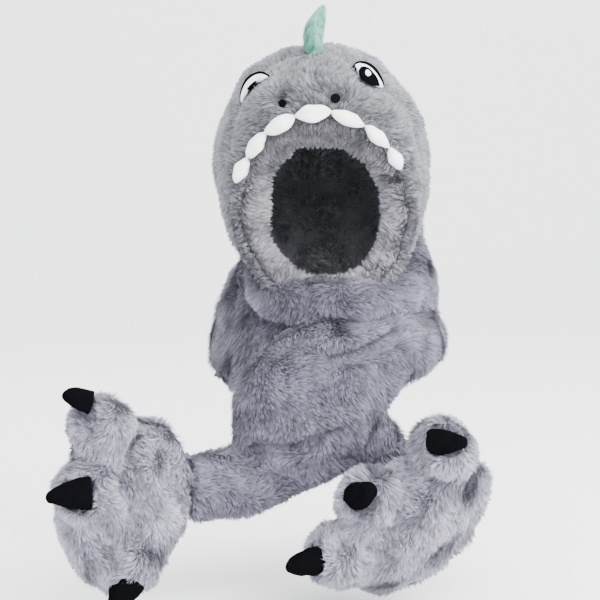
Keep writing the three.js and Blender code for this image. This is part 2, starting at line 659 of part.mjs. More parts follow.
// Paw mittens, each on its end of the scarf: cuff is the way from there to the middle of the mitten's mouth
// as shares of pawWidth, run its way on to the toes and back the way that the back of the hand looks.
const paws = [
  {
    side: "right",
    toes: openToes,
    clawRows: openClaws,
    end: footTable,
    cuff: vec(-0.046, 0.169, -0.175),
    run: vec(-0.83, -0.5, 0.25),
    back: vec(-0.52, 0.85, 0),
  },
  {
    side: "left",
    toes: curledToes,
    clawRows: curledClaws,
    end: underTable,
    cuff: vec(0.162, -0.162, -0.189),
    run: vec(-0.46, -0.77, 0.44),
    back: vec(-0.55, 0.63, 0.53),
  },
];
const pawForms = [];
for (const { side, toes, clawRows, end, cuff, run, back } of paws) {
  const paw = makePaw(toes, clawRows);
  const mouth = frontEnd(end)(1).middle.addScaledVector(cuff, pawWidth);
  const group = new THREE.Group();
  group.applyMatrix4(pose(mouth, run, back));
  part.add(group);
  pawForms.push(...paw.forms.map((form) => placed(form, group.matrix)));
  add(`paw_${side}`, paw.body, paleGrey, group);
  paw.claws.forEach((claw, i) => add(`claw_${side}_${i + 1}`, claw, black, group));
}

// The scarf's pieces, each cut by those that lie on it.
const headForms = [hood, trim].map((form) => placed(form, head.matrix));
const crossForms = [crossTable, footTable].map((rows) => makeStrip(frontEnd(rows), endSteps, false));
const chinTurn = makeStrip(neckTurn(chinTurnTable), turnSteps, true);
const shoulderTurn = makeStrip(neckTurn(shoulderTurnTable), turnSteps, true);
const under = makeStrip(frontEnd(underTable), endSteps, false);
add("scarf_cross_end", cut(crossForms[0].add(crossForms[1]), ...pawForms), grey);
add("scarf_chin_turn", cut(chinTurn, ...headForms, ...crossForms), grey);
add("scarf_shoulder_turn", cut(shoulderTurn, ...headForms, ...crossForms, chinTurn), grey);
add("scarf_under_end", cut(under, ...pawForms, ...crossForms, chinTurn, shoulderTurn), grey);

export default part;
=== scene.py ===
import math

import bpy
import numpy as np
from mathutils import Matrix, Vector
from mathutils.bvhtree import BVHTree
from mathutils.kdtree import KDTree


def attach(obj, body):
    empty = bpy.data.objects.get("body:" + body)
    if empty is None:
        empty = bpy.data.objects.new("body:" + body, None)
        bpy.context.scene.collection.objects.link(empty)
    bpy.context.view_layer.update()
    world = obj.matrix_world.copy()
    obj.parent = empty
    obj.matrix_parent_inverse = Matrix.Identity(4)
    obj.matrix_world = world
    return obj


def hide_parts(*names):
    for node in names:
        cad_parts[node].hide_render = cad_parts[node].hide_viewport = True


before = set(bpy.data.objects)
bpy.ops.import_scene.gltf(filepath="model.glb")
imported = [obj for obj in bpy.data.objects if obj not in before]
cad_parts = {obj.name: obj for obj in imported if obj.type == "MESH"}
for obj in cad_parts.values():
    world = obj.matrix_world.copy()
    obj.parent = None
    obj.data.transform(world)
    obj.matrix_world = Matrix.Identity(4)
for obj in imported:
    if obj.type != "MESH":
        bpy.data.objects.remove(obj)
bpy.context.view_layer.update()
bpy.ops.object.select_all(action="DESELECT")

# Viewpoint: in front of the piece and a little above its middle, as far off as a long lens stands. Picture
# points below are given right and down, in a picture 600 points high and wide. On the piece, one of them
# spans point_span metres.
bpy.ops.object.camera_add(location=(-0.011, -1.5893, -0.0673), rotation=(math.radians(85), 0, 0))
camera = bpy.context.object
camera.name = "camera"
picture_size = 600
lens_length, film_width = 112.5, 36
camera.data.lens = lens_length
bpy.context.scene.camera = camera
focal_length = picture_size * lens_length / film_width
picture_right, picture_up = (np.array(camera.rotation_euler.to_matrix().col[k]) for k in (0, 1))
point_span = 0.00079

# Hood: one padded shell of short grey rabbit-look plush, with its stuffed upper jaw sewn in one with it. The
# pile is combed back from the jaw over the crown and hangs down at the sides. The lining is the same cloth.


def sighted(right, down, surface):
    """The point of a surface that shows at a picture point."""
    middle = picture_size / 2
    ray = Vector(((right - middle) / focal_length, (middle - down) / focal_length, -1.0))
    ray.rotate(camera.rotation_euler)
    hit = surface.ray_cast(camera.location, ray)[0]
    if hit is None:
        hit = surface.find_nearest(camera.location + 1.5 * ray.normalized())[0]
    return np.array(hit)


def waves(points, size, seed, count=9):
    """Smooth noise between about minus one and one, with lumps of the given size."""
    dice = np.random.default_rng(seed)
    ways = dice.normal(size=(count, 3))
    ways *= (2 * math.pi / size) * dice.uniform(0.6, 1.5, (count, 1)) / np.linalg.norm(ways, axis=1)[:, None]
    return np.sin(points @ ways.T + dice.uniform(0, 6.3, count)).sum(axis=1) / math.sqrt(count)


def unit(vectors):
    """Vectors with their length made one."""
    return vectors / np.maximum(np.linalg.norm(vectors, axis=1), 1e-9)[:, None]


def surface_normals(points, triangles):
    """Which way the surface faces at each of its points."""
    a, b, c = (points[triangles[:, k]] for k in range(3))
    flat = np.cross(b - a, c - a)
    summed = np.zeros_like(points)
    for k in range(3):
        for axis in range(3):
            summed[:, axis] += np.bincount(triangles[:, k], flat[:, axis], len(points))
    return unit(summed)


solid_points, solid_faces, owners = [], [], []
for name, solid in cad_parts.items():
    first = len(solid_points)
    solid_points.extend(vertex.co.copy() for vertex in solid.data.vertices)
    solid_faces.extend([first + i for i in face.vertices] for face in solid.data.polygons)
    owners.extend([name] * len(solid.data.polygons))
all_solids = BVHTree.FromPolygons(solid_points, solid_faces)
# How far from the seam between hood and edge roll the cloth is plumped and its pile stands up.
seam_reach = 0.009


def smoothed(points, edges, rounds):
    """The points smoothed along their edges, without shrinking."""
    one, other = edges.T
    number = len(points)
    near = np.bincount(one, minlength=number) + np.bincount(other, minlength=number)
    for pull in [0.5, -0.53] * rounds:
        middle = np.empty_like(points)
        for axis in range(3):
            line = points[:, axis]
            middle[:, axis] = np.bincount(one, line[other], number) + np.bincount(other, line[one], number)
        points = points + pull * (middle / near[:, None] - points)
    return points


def crease_strength(share, normals):
    """How strong a crease is along its length: less to its ends, and nothing where the cloth turns away."""
    ends = np.clip(np.minimum(share, 1 - share) / 0.15, 0, 1) ** 0.6
    return ends * np.clip(0.3 - 1.5 * normals[:, 1], 0, 1)


def nearest_on(line, points):
    """How far points are from a line of places, its nearest places, and how far along it those are."""
    run = np.linalg.norm(np.diff(line, axis=0), axis=1)
    gone = np.concatenate([[0], np.cumsum(run)]) / run.sum()
    far = np.full(len(points), 9.0)
    share = np.zeros(len(points))
    near = np.zeros_like(points)
    for i in range(len(run)):
        a, ab = line[i], line[i + 1] - line[i]
        t = np.clip((points - a) @ ab / max(ab @ ab, 1e-12), 0, 1)
        foot = a + t[:, None] * ab
        away = np.linalg.norm(points - foot, axis=1)
        closer = away < far
        far[closer] = away[closer]
        near[closer] = foot[closer]
        share[closer] = (gone[i] + t * (gone[i + 1] - gone[i]))[closer]
    return far, near, share


class Plush:
    """A plush piece in the making: its backing cloth is shaped as points, then the pile is set into it."""

    def __init__(self, node, cell, rounds):
        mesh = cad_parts[node].data.copy()
        mesh.materials.clear()
        self.node = node
        self.piece = bpy.data.objects.new(node + "_plush", mesh)
        bpy.context.collection.objects.link(self.piece)
        bpy.ops.object.select_all(action="DESELECT")
        self.piece.select_set(True)
        bpy.context.view_layer.objects.active = self.piece
        bpy.ops.object.mode_set(mode="EDIT")
        bpy.ops.mesh.select_all(action="SELECT")
        bpy.ops.mesh.remove_doubles(threshold=0.00001)
        bpy.ops.object.mode_set(mode="OBJECT")
        self.piece.data.remesh_voxel_size = cell
        bpy.ops.object.voxel_remesh()
        mesh = self.piece.data
        points = np.empty(3 * len(mesh.vertices))
        mesh.vertices.foreach_get("co", points)
        self.loops = np.empty(len(mesh.loops), int)
        mesh.loops.foreach_get("vertex_index", self.loops)
        self.starts = np.empty(len(mesh.polygons), int)
        mesh.polygons.foreach_get("loop_start", self.starts)
        edges = np.empty(2 * len(mesh.edges), int)
        mesh.edges.foreach_get("vertices", edges)
        self.points = smoothed(points.reshape(-1, 3), edges.reshape(-1, 2), rounds)
        mesh.calc_loop_triangles()
        triangles = np.empty(3 * len(mesh.loop_triangles), int)
        mesh.loop_triangles.foreach_get("vertices", triangles)
        self.triangles = triangles.reshape(-1, 3)
        self.normals = surface_normals(self.points, self.triangles)
        self.flat_points, self.flat_normals = self.points.copy(), self.normals.copy()
        self.tone = np.zeros(len(self.points))
        self.creases = []

    def push(self, heights):
        """Raises the cloth by its own height at each point."""
        self.points += self.normals * heights[:, None]
        self.normals = surface_normals(self.points, self.triangles)

    def swell(self, place, radius, height):
        """A soft bulge, or a dent where height is negative, round a point of the picture."""
        middle = sighted(*place, BVHTree.FromPolygons(self.points.tolist(), self.triangles.tolist()))
        self.push(height * np.exp(-(np.linalg.norm(self.points - middle, axis=1) / radius) ** 2))

    def fill_seam(self, near):
        """Plumps the cloth and brings it forward by its neighbour, at the sides and foot of the opening."""
        share = np.exp(-((near / seam_reach) ** 2)) * np.clip((-0.105 - self.points[:, 2]) / 0.02, 0, 1)
        self.push(0.0025 * share)
        self.points[:, 1] -= 0.0105 * share * np.clip(0.3 - self.normals[:, 1], 0, 1)
        self.normals = surface_normals(self.points, self.triangles)

    def fold(self, path, deep, wide, over=None, lap=0.0, painted_shade=0.5):
        """A crease along picture points: pressed in, ridged beside it, raised by lap on the side over, and
        given painted shade.
        """
        surface = BVHTree.FromPolygons(self.points.tolist(), self.triangles.tolist())
        line = np.array([sighted(*place, surface) for place in path])
        far, near, share = nearest_on(line, self.points)
        d = far / wide
        lift = -deep * np.exp(-(d**2)) + 0.25 * deep * np.exp(-(((d - 2.0) / 0.9) ** 2))
        if over is not None:
            side = np.tanh((self.points - near) @ np.array(over) / (0.5 * wide))
            lift += lap * side * np.exp(-((d / 2.4) ** 2))
        self.push(lift * crease_strength(share, self.normals))
        surface = BVHTree.FromPolygons(self.points.tolist(), self.triangles.tolist())
        line = np.array([surface.find_nearest(Vector(place))[0] for place in line])
        self.creases.append((line, wide, painted_shade))

    def shade_at(self, points, normals):
        """The painted shade of the creases at places: 0 in the open, below it in the depth of a crease."""
        tone = np.zeros(len(points))
        for line, wide, painted_shade in self.creases:
            far, _, share = nearest_on(line, points)
            core = 0.75 * np.exp(-((far / (0.36 * wide)) ** 2))
            edge = 0.3 * np.exp(-((far / (1.1 * wide)) ** 2))
            tone -= painted_shade * crease_strength(share, normals) * (core + edge)
        return tone

    def seen_along(self, at, way):
        """What a place looks out on: 1 in the open, less under a neighbour, nothing inside the piece."""
        gone = 0.0
        while True:
            hit, _, face, away = all_solids.ray_cast(at, way, 0.26)
            if hit is None:
                return 1.0
            gone += away
            if owners[face].split("_")[0] in ("tooth", "eye", "nostril", "claw", "fin"):
                return 0.3 if gone < 0.006 else 1.0
            if owners[face] != self.node:
                return 0.6 if gone < 0.005 else 1.0
            if gone > 0.03:
                return None
            at = hit + 0.0002 * way

    def open_share(self, at, way, inside):
        """How thickly pile stands at a place: thinly only where it looks into the piece on every side."""
        straight = self.seen_along(at, way)
        if straight is not None:
            return straight
        side = way.orthogonal().normalized()
        for other in (side, -side, way.cross(side), side.cross(way)):
            if self.seen_along(at, (way + 1.2 * other).normalized()) is not None:
                return 1.0
        return inside

    def part_walls(self):
        """Where the two sides of the cloth came through each other, the side turned inwards gives way."""
        least = 0.002
        surface = BVHTree.FromPolygons(self.flat_points.tolist(), self.triangles.tolist())
        room = np.full(len(self.points), 0.05)
        facing = np.arange(len(self.points))
        inner = np.zeros(len(self.points))
        for i, (at, way) in enumerate(zip(self.flat_points, self.flat_normals)):
            _, _, face, away = surface.ray_cast(Vector(at - 0.0003 * way), Vector(-way), 0.03)
            if face is not None:
                room[i], facing[i] = away, self.triangles[face][0]
                inner[i] = self.open_share(Vector(at + 0.001 * way), Vector(way), 0.0) < 0.1
        moved = ((self.points - self.flat_points) * self.flat_normals).sum(axis=1)
        short = np.clip(least - room - moved - moved[facing], 0, 0.02)
        gives = np.clip(0.5 + 0.5 * (inner - inner[facing]), 0, 1)
        self.points += self.flat_normals * (short * gives)[:, None]
        self.normals = surface_normals(self.points, self.triangles)

    def strewn(self, count, inside, dice):
        """Chance places on the cloth for the pile, with the way up and the tone there, the painted shade of
        the creases included.
        """
        a, b, c = (self.points[self.triangles[:, k]] for k in range(3))
        flat = np.cross(b - a, c - a)
        area = np.linalg.norm(flat, axis=1) / 2
        middles, faces = (a + b + c) / 3, unit(flat)
        sights = [self.open_share(Vector(at), Vector(way), inside) for at, way in zip(middles, faces)]
        share = np.array(sights)
        one, hidden = self.triangles.ravel(), np.repeat(1 - share, 3)
        shared = np.bincount(one, minlength=len(self.points)).clip(1)
        self.bare = np.bincount(one, hidden, len(self.points)) / shared
        chance = np.cumsum(area * share)
        which = np.searchsorted(chance, dice.uniform(0, chance[-1], count))
        which = np.minimum(which, len(area) - 1)
        u, v = dice.uniform(0, 1, (2, count))
        turned = u + v > 1
        u[turned], v[turned] = 1 - u[turned], 1 - v[turned]
        weights = np.stack([1 - u - v, u, v], axis=1)
        corners = self.triangles[which]
        root = (self.points[corners] * weights[:, :, None]).sum(axis=1)
        up = unit((self.normals[corners] * weights[:, :, None]).sum(axis=1))
        crease_rise = 0.0033
        # The pile and the backing take the painted shade of the creases.
        tone = (self.tone[corners] * weights).sum(axis=1) + self.shade_at(root + crease_rise * up, up)
        self.tone += self.shade_at(self.points + crease_rise * self.normals, self.normals)
        return root, up, tone

    def set_pile(self, count, long, lean, comb, swirl, tuft, gather, seed, wide=0.00095, inside=0.3):
        """Sets tufted pile: blades leaning along the comb, drawn together and lighter at their tips, with
        painted shade at their roots.
        """
        self.part_walls()
        dice = np.random.default_rng(seed)
        root, up, tone = self.strewn(count, inside, dice)
        way = comb(root, up) if callable(comb) else np.tile(comb, (count, 1))
        pull = np.clip(np.linalg.norm(way, axis=1), 0, 1)
        way = unit(way - up * (way * up).sum(axis=1)[:, None] + 1e-4 * dice.normal(size=(count, 3)))
        turn = np.radians(swirl) * waves(root, 0.045, seed + 1) + np.radians(10) * dice.normal(size=count)
        way = way * np.cos(turn)[:, None] + np.cross(up, way) * np.sin(turn)[:, None]

        tufts = max(count // tuft, 1)
        sided = root + 0.004 * up
        tree = KDTree(tufts)
        for i, place in enumerate(sided[dice.choice(count, tufts, replace=False)]):
            tree.insert(place, i)
        tree.balance()
        mine = np.array([tree.find(place)[1] for place in sided])
        height = long * dice.uniform(0.72, 1.1, count) * dice.uniform(0.75, 1.25, tufts)[mine]
        height *= 1 - 0.45 * np.clip(-tone, 0, 1)
        slant = np.radians(lean * pull + 9 * waves(root, 0.03, seed + 2) + 6 * dice.normal(size=count))
        reach = height[:, None] * (up * np.cos(slant)[:, None] + way * np.sin(slant)[:, None])
        tip = root + reach
        mean_tip = np.stack([np.bincount(mine, tip[:, k], tufts) for k in range(3)], axis=1)
        mean_tip /= np.bincount(mine, minlength=tufts).clip(1)[:, None]
        tip += gather * (mean_tip[mine] - tip) * dice.uniform(0.6, 1.3, (count, 1))
        along = unit(tip - root)
        across = unit(np.cross(along, up) + 1e-5)
        half = 0.5 * wide * dice.uniform(0.7, 1.25, count)[:, None]
        facing = unit(np.cross(across, along))
        shown = unit(0.6 * up + 0.4 * facing + 0.4 * dice.normal(size=(count, 1)) * across)
        hue = 0.5 + 0.5 * np.clip(0.55 * waves(root, 0.02, seed + 3) + 0.5 * dice.normal(size=count), -1, 1)
        lot = dice.uniform(0, 1, tufts)[mine]
        self.blades = np.stack([root - half * across, root + half * across, tip], axis=1).reshape(-1, 3)
        self.blade_faces = np.arange(3 * count).reshape(-1, 3)
        self.blade_normals = np.repeat(shown, 3, axis=0)
        self.blade_tone = np.repeat(tone, 3)
        self.blade_rise = np.tile([0, 0, 1], count)
        self.blade_hue = np.repeat(0.45 * hue + 0.55 * lot, 3)

    def finish(self, cloth):
        """Joins the backing and its pile into one mesh, with their normals, colours and map."""
        number, faces = len(self.points), len(self.starts)
        totals = np.diff(np.append(self.starts, len(self.loops)))
        points = np.concatenate([self.points, self.blades])
        loops = np.concatenate([self.loops, (self.blade_faces + number).ravel()])
        starts = np.concatenate([self.starts, len(self.loops) + 3 * np.arange(len(self.blade_faces))])
        mesh = bpy.data.meshes.new(self.piece.name)
        mesh.vertices.add(len(points))
        mesh.vertices.foreach_set("co", points.ravel())
        mesh.loops.add(len(loops))
        mesh.loops.foreach_set("vertex_index", loops)
        mesh.polygons.add(len(starts))
        mesh.polygons.foreach_set("loop_start", starts)
        mesh.update(calc_edges=True)
        mesh.shade_smooth()

        side = math.ceil(math.sqrt(2 * faces))
        cell = np.repeat(np.arange(faces), totals)
        turn = np.arange(len(self.loops)) - np.repeat(self.starts, totals)
        inset = np.array([[0.15, 0.15], [0.85, 0.15], [0.85, 0.85], [0.15, 0.85]])[turn % 4]
        backing = np.stack([(cell % side + inset[:, 0]) / side, (cell // side + inset[:, 1]) / side], axis=1)
        shade = np.clip(0.5 + 0.5 * self.blade_tone, 0, 1)
        height = 0.53 + 0.46 * (0.5 * self.blade_rise + 0.5 * shade)
        pile = np.stack([0.02 + 0.96 * self.blade_hue, height], axis=1)[self.blade_faces.ravel()]
        chart = mesh.uv_layers.new(name="OFBake")
        chart.data.foreach_set("uv", np.concatenate([backing, pile]).ravel())

        # Per point: red is how open it is to light, lower in painted shade; green how far up the pile it
        # stands, the roots and the backing taking painted shade, the backing less where the pile is thin;
        # blue a random hue.
        marks = np.ones((len(points), 4))
        marks[:, 0] = np.concatenate([np.clip(1 + self.tone, 0, 1), np.clip(1 + self.blade_tone, 0, 1)])
        marks[:, 1] = np.concatenate([0.1 + 0.3 * self.bare, self.blade_rise])
        marks[:, 2] = np.concatenate([np.full(number, 0.5), self.blade_hue])
        painted = mesh.color_attributes.new(name="pile", type="FLOAT_COLOR", domain="POINT")
        painted.data.foreach_set("color", marks.ravel())
        normals = np.concatenate([self.normals, self.blade_normals])
        mesh.normals_split_custom_set_from_vertices(normals.tolist())
        old = self.piece.data
        self.piece.data = mesh
        bpy.data.meshes.remove(old)
        mesh.materials.append(cloth)
        return self.piece


class Dye:
    """A value in a material's node tree that can stand in a sum."""

    def __init__(self, cloth, socket):
        self.cloth, self.socket = cloth, socket

    def maths(self, kind, one, other):
        return self.cloth.node("ShaderNodeMath", {"operation": kind}, {0: one, 1: other})

    def __add__(self, other):
        return self.maths("ADD", self, other)

    def __mul__(self, other):
        return self.maths("MULTIPLY", self, other)

    def __pow__(self, other):
        return self.maths("POWER", self, other)

    def __rsub__(self, other):
        return self.maths("SUBTRACT", other, self)

    __radd__, __rmul__ = __add__, __mul__


class Cloth:
    """A material in the making."""

    def __init__(self, name, roughness, sheen=0.0, tint=(1, 1, 1), fuzz=0.5):
        self.material = bpy.data.materials.new(name)
        self.material.use_nodes = True
        self.nodes = self.material.node_tree.nodes
        self.links = self.material.node_tree.links
        self.shader = self.nodes["Principled BSDF"]
        self.shader.inputs["Roughness"].default_value = roughness
        self.shader.inputs["Sheen Weight"].default_value = sheen
        self.shader.inputs["Sheen Roughness"].default_value = fuzz
        self.shader.inputs["Sheen Tint"].default_value = (*tint, 1)
        self.shader.inputs["Specular IOR Level"].default_value = 0.25

    def node(self, kind, settings=None, sockets=None, out=0):
        made = self.nodes.new(kind)
        for name, value in (settings or {}).items():
            if name == "stops":
                ramp = made.color_ramp.elements
                while len(ramp) < len(value):
                    ramp.new(0.5)
                for stop, (place, shade) in zip(ramp, value):
                    stop.position = place
                    stop.color = (shade, shade, shade, 1)
            else:
                setattr(made, name, value)
        for name, value in (sockets or {}).items():
            if isinstance(value, Dye):
                self.links.new(value.socket, made.inputs[name])
            elif isinstance(value, tuple) and len(value) == 3 and made.inputs[name].type == "RGBA":
                made.inputs[name].default_value = (*value, 1)
            else:
                made.inputs[name].default_value = value
        return Dye(self, made.outputs[out])

    def mix(self, share, one, other):
        settings = {"data_type": "RGBA", "clamp_factor": True}
        return self.node("ShaderNodeMix", settings, {0: share, 6: one, 7: other}, out=2)

    def feed(self, name, value):
        self.links.new(value.socket, self.shader.inputs[name])

    def noise(self, size, detail=3.0):
        """Noise with lumps of the given size in metres."""
        place = self.node("ShaderNodeTexCoord", out="Object")
        sockets = {"Vector": place, "Scale": 1 / size, "Detail": detail, "Roughness": 0.55}
        return self.node("ShaderNodeTexNoise", None, sockets)

    def relief(self, height, strength, depth):
        """Small relief on the cloth, of the given depth in metres."""
        sockets = {"Strength": strength, "Distance": depth, "Height": height}
        self.feed("Normal", self.node("ShaderNodeBump", None, sockets))


def plush_cloth(name, root, tip, pale, sheen):
    """Pile fabric: painted shade between the tufts and at their roots, lighter to the tips, with soft pale
    patches here and there.
    """
    cloth = Cloth(name, 0.82, sheen, (0.9, 0.9, 1), 0.45)
    marks = cloth.node("ShaderNodeAttribute", {"attribute_name": "pile"}, out="Color")
    parts = cloth.node("ShaderNodeSeparateColor", None, {"Color": marks}, out="Red")
    open_to_light, rise, hue = (Dye(cloth, parts.socket.node.outputs[k]) for k in range(3))
    # The root colour is painted shade low among the tufts; open_to_light brings in the painted shade of
    # creases and hollows; hue is a random tint.
    tone = (0.1 + 0.9 * rise**0.8) * (0.08 + 0.92 * hue) * (0.12 + 0.88 * open_to_light)
    body = cloth.mix(tone, root, tip)
    stops = [(0.42, 0.0), (0.66, 1.0)]
    patch = cloth.node("ShaderNodeValToRGB", {"stops": stops}, {"Fac": cloth.noise(0.03, 2.0)})
    cloth.feed("Base Color", cloth.mix(patch * tone * 0.5, body, pale))
    cloth.feed("Roughness", 0.9 - 0.14 * rise)
    cloth.relief(cloth.noise(0.0011, 2.0), 0.35, 0.0006)
    return cloth.material


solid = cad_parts["face_trim"].data
trim_points, trim_sides = [vertex.co for vertex in solid.vertices], [face.vertices for face in solid.polygons]
trim_face = BVHTree.FromPolygons(trim_points, trim_sides)
jaw_tip = np.array([-0.006, -0.17, -0.06])


def away_from(surface, points):
    """How far points lie from a surface."""
    return np.array([surface.find_nearest(Vector(place))[3] for place in points])


def hood_comb(points, ups):
    """Back from the jaw over the crown, down at the sides and the back, and upright at the edge's seam."""
    back = points - jaw_tip
    back[:, 2] -= 0.16 * np.clip((points[:, 1] + 0.09) / 0.1, 0, 1)
    return (1 - np.exp(-((away_from(trim_face, points) / seam_reach) ** 2)))[:, None] * unit(back)


jaw_seams = (
    [(228, 160), (231, 130), (238, 106), (250, 88), (264, 70), (282, 58), (304, 52)],
    [(326, 50), (346, 57), (364, 74), (382, 88), (404, 102), (414, 122), (416, 150)],
)
jaw_parting = [(313, 60), (315, 80), (314, 104)]
jaw_bulges = ((264, 96), (352, 92))
nostril_dents = (((282.5, 97), -0.005), ((335.4, 98.3), -0.003))
# Painted shade round the two nostril dents.
nostril_painted_shade = (([(276, 101), (282, 98), (288, 92)], 0.9), ([(330, 94), (335.5, 98), (342, 93)], 0.6))
hood = Plush("hood", cell=0.0048, rounds=16)
hood.push(0.001 * waves(hood.points, 0.05, 3))
# The jaw's seams and parting take painted shade in their creases.
for path in jaw_seams:
    hood.fold(path, deep=0.0028, wide=0.0075, painted_shade=0.3)
hood.fold(jaw_parting, deep=0.0014, wide=0.004, painted_shade=0.3)
for place in jaw_bulges:
    hood.swell(place, radius=0.016, height=0.0035)
for place, height in nostril_dents:
    hood.swell(place, radius=0.0055, height=height)
for path, painted_shade in nostril_painted_shade:
    hood.fold(path, deep=0.001, wide=0.007, painted_shade=painted_shade)
hood_face = BVHTree.FromPolygons(hood.points.tolist(), hood.triangles.tolist())
hood.push(np.full(len(hood.points), -0.003))
hood.fill_seam(away_from(trim_face, hood.points))
snout = np.clip((-0.13 - hood.points[:, 1]) / 0.04, 0, 1)
hood.tone -= 0.22 * snout * np.clip(waves(hood.points, 0.013, 6), 0, 1)
hood.set_pile(
    count=148000, long=0.006, lean=58, comb=hood_comb, swirl=42, tuft=7, gather=0.42, seed=11, inside=0.15
)
grey_plush = plush_cloth(
    "grey_plush", root=(0.018, 0.018, 0.022), tip=(0.27, 0.275, 0.303), pale=(0.35, 0.355, 0.39), sheen=0.35
)
hood_plush = hood.finish(grey_plush)
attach(hood_plush, "root")
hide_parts("hood")

# Edge of the opening: a roll of the same plush, sewn in all round against the hood. Its pile is longer, with
# painted shade above, under the jaw, and on the side turned from the lamps, and it is combed over the roll
# into the opening.
opening_middle = np.array([0.008, 0.0, -0.128])
inwards = np.array([0.0, 1.0, 0.0])
upright_only = np.array([1.0, 0.0, 1.0])


def trim_comb(points, ups):
    """Round the roll into the opening and on to the lining, and upright at the seam to the hood."""
    to_rim = unit((points - opening_middle) * upright_only)
    pull = 1 - np.exp(-((away_from(hood_face, points) / seam_reach) ** 2))
    return pull[:, None] * np.cross(ups, np.cross(to_rim, inwards))


trim = Plush("face_trim", cell=0.0042, rounds=10)
from_hood = away_from(hood_face, trim.points)
trim.push(0.0015 * waves(trim.points, 0.03, 5) - 0.004 + 0.006 * np.exp(-((from_hood / 0.011) ** 2)))
trim.fill_seam(from_hood)
to_rim = unit((trim.points - opening_middle) * upright_only)
trim.push(-0.005 * np.clip(-(trim.normals * to_rim).sum(axis=1), 0, 1))
# Painted shade on the upper part of the roll under the jaw, and on its left side, turned away from the lamps;
# the waves add random tone.
under_jaw_shade = np.clip((trim.points[:, 2] + 0.12) / 0.05, 0, 1)
trim.tone -= 0.6 * under_jaw_shade + 0.2 * np.clip(waves(trim.points, 0.011, 6), 0, 1)
trim.tone -= 0.22 * np.clip(-trim.points[:, 0] / 0.03, 0, 1)
trim.set_pile(
    count=84000, long=0.0088, lean=45, comb=trim_comb, swirl=45, tuft=14, gather=0.6, seed=21, inside=0.9
)
edge_plush = plush_cloth(
    "trim_plush", root=(0.025, 0.0245, 0.029), tip=(0.4, 0.385, 0.435), pale=(0.52, 0.5, 0.565), sheen=0.4
)
trim_plush = trim.finish(edge_plush)
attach(trim_plush, "root")
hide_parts("face_trim")

# Teeth: a tube of smooth white cloth, stuffed and gathered with thread between the teeth, sewn along the edge
# of the hood over the opening.


def white_cloth():
    """Close-woven white cloth with a soft nap, greyer with painted shade where it is gathered."""
    cloth = Cloth("white_cloth", 0.7, 0.3)
    gather_shade = cloth.node("ShaderNodeAttribute", {"attribute_name": "gather"}, out="Fac")
    cloth.feed("Base Color", cloth.mix(gather_shade, (0.86, 0.87, 0.86), (0.5, 0.5, 0.52)))
    cloth.feed("Roughness", 0.62 + 0.2 * cloth.noise(0.004))
    cloth.relief(cloth.noise(0.0006, 1.0) + 0.8 * cloth.noise(0.003, 2.0), 0.4, 0.0004)
    return cloth.material


def refined(node, name, levels):
    """A copy of a node's mesh, remeshed evenly and then subdivided, with its points as an array."""
    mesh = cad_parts[node].data.copy()
    mesh.materials.clear()
    piece = bpy.data.objects.new(name, mesh)
    bpy.context.collection.objects.link(piece)
    bpy.ops.object.select_all(action="DESELECT")
    piece.select_set(True)
    bpy.context.view_layer.objects.active = piece
    bpy.ops.object.mode_set(mode="EDIT")
    bpy.ops.mesh.select_all(action="SELECT")
    bpy.ops.mesh.remove_doubles(threshold=0.00001)
    bpy.ops.mesh.dissolve_limited(angle_limit=math.radians(1))
    bpy.ops.object.mode_set(mode="OBJECT")
    mesh.remesh_voxel_size = 0.0016
    bpy.ops.object.voxel_remesh()
    if levels:
        finer = piece.modifiers.new("finer", "SUBSURF")
        finer.levels = finer.render_levels = levels
        bpy.ops.object.modifier_apply(modifier=finer.name)
    bpy.ops.object.shade_smooth()
    points = np.empty(3 * len(piece.data.vertices))
    piece.data.vertices.foreach_get("co", points)
    return piece, points.reshape(-1, 3)


def relaxed(piece, points, rounds):
    """The piece's points smoothed, and the normals there."""
    mesh = piece.data
    edges = np.empty(2 * len(mesh.edges), int)
    mesh.edges.foreach_get("vertices", edges)
    points = smoothed(points, edges.reshape(-1, 2), rounds)
    mesh.vertices.foreach_set("co", points.ravel())
    mesh.update()
    normals = np.empty(3 * len(points))
    mesh.vertices.foreach_get("normal", normals)
    return points, normals.reshape(-1, 3)


